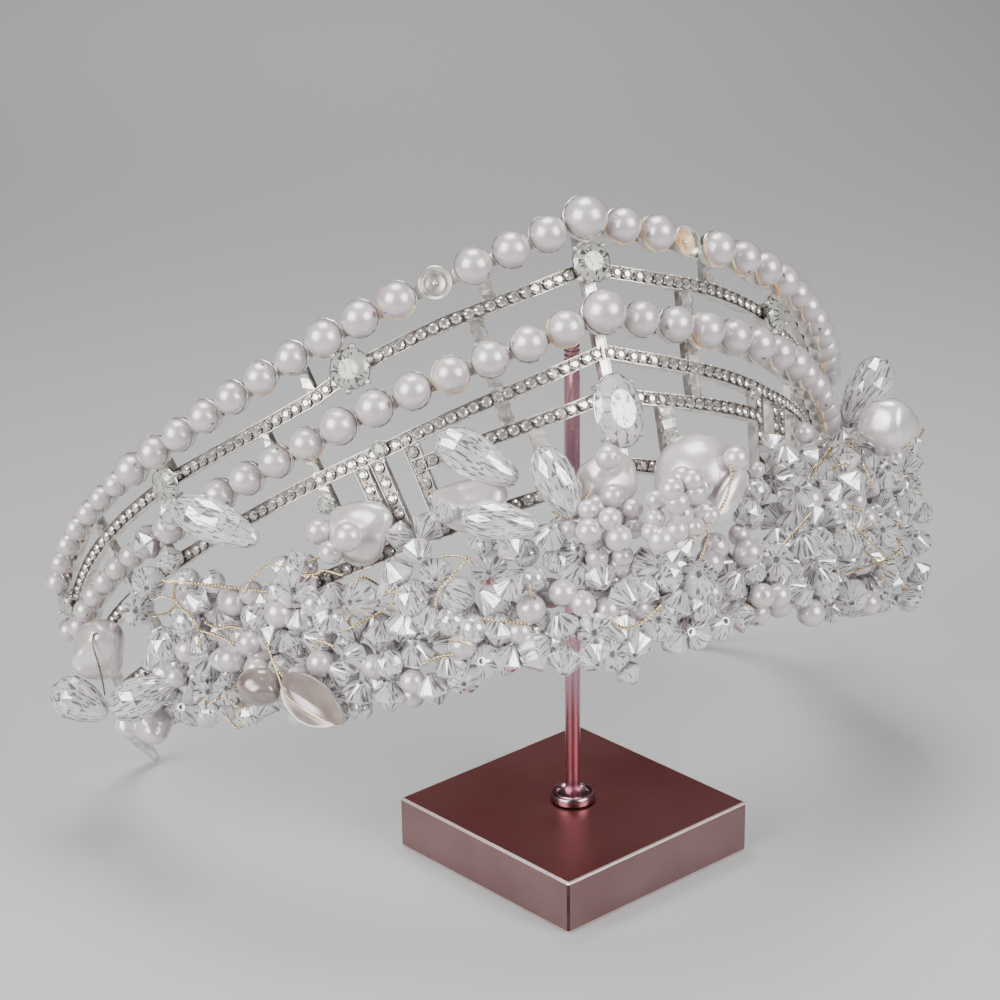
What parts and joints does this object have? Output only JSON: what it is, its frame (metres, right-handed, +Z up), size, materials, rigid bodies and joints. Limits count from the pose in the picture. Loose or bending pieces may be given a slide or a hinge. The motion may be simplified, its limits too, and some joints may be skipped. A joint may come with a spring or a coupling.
{
  "type": "bridal crown on a display stand",
  "caption": "Open horseshoe bridal crown of pierced metal strips with pearl rows, set crystals and a hanging crystal garland, propped on a square block stand with a thin rod.",
  "frame": {"origin": "centre of the stand block's underside, on the rod's axis", "axes": "+Z up, -Y out of the crown's front, +X to the wearer's left, which is the right of the picture"},
  "size_m": [0.2062, 0.1321, 0.1509],
  "materials": {
    "stand_metal": "satin rose metal block and collar",
    "rod_metal": "threaded steel rod",
    "frame_metal": "bright plated metal strips, a little tarnished",
    "cup_metal": "plated cups, aged glue inside",
    "pearl": "ivory pearl lustre",
    "freshwater_pearl": "uneven warm pearl lustre",
    "crystal": "clear cut crystal",
    "crystal_strings": "strung crystals and small pearls on twisted wire"
  },
  "bodies": {
    "root": {"baroque_1": "freshwater_pearl", "baroque_2": "freshwater_pearl", "baroque_3": "freshwater_pearl", "baroque_4": "freshwater_pearl", "baroque_5": "freshwater_pearl", "baroque_6": "freshwater_pearl", "baroque_7": "freshwater_pearl", "baroque_8": "freshwater_pearl", "baroque_9": "freshwater_pearl", "crown_frame": "frame_metal", "crystal_centre": "crystal", "crystal_left_end": "crystal", "crystal_left_front": "crystal", "crystal_left_side": "crystal", "crystal_right_end": "crystal", "crystal_right_front": "crystal", "crystal_right_side": "crystal", "empty_cup_left": "cup_metal", "empty_cup_right": "cup_metal", "garland_left": "crystal_strings", "garland_right": "crystal_strings", "large_pearl": "pearl", "lower_peak_pearl": "pearl", "lower_pearls_left": "pearl", "lower_pearls_right": "pearl", "oval_crystal": "crystal", "pearl_cluster_1": "pearl", "pearl_cluster_2": "pearl", "petal_pearl": "freshwater_pearl", "stand_base": "stand_metal", "stand_collar": "stand_metal", "stand_rod": "rod_metal", "teardrop_1": "crystal", "teardrop_2": "crystal", "teardrop_3": "crystal", "teardrop_4": "crystal", "teardrop_5": "crystal", "teardrop_6": "crystal", "teardrop_7": "crystal", "upper_peak_pearl": "pearl", "upper_pearls_left": "pearl", "upper_pearls_right": "pearl"}
  },
  "joints": []
}
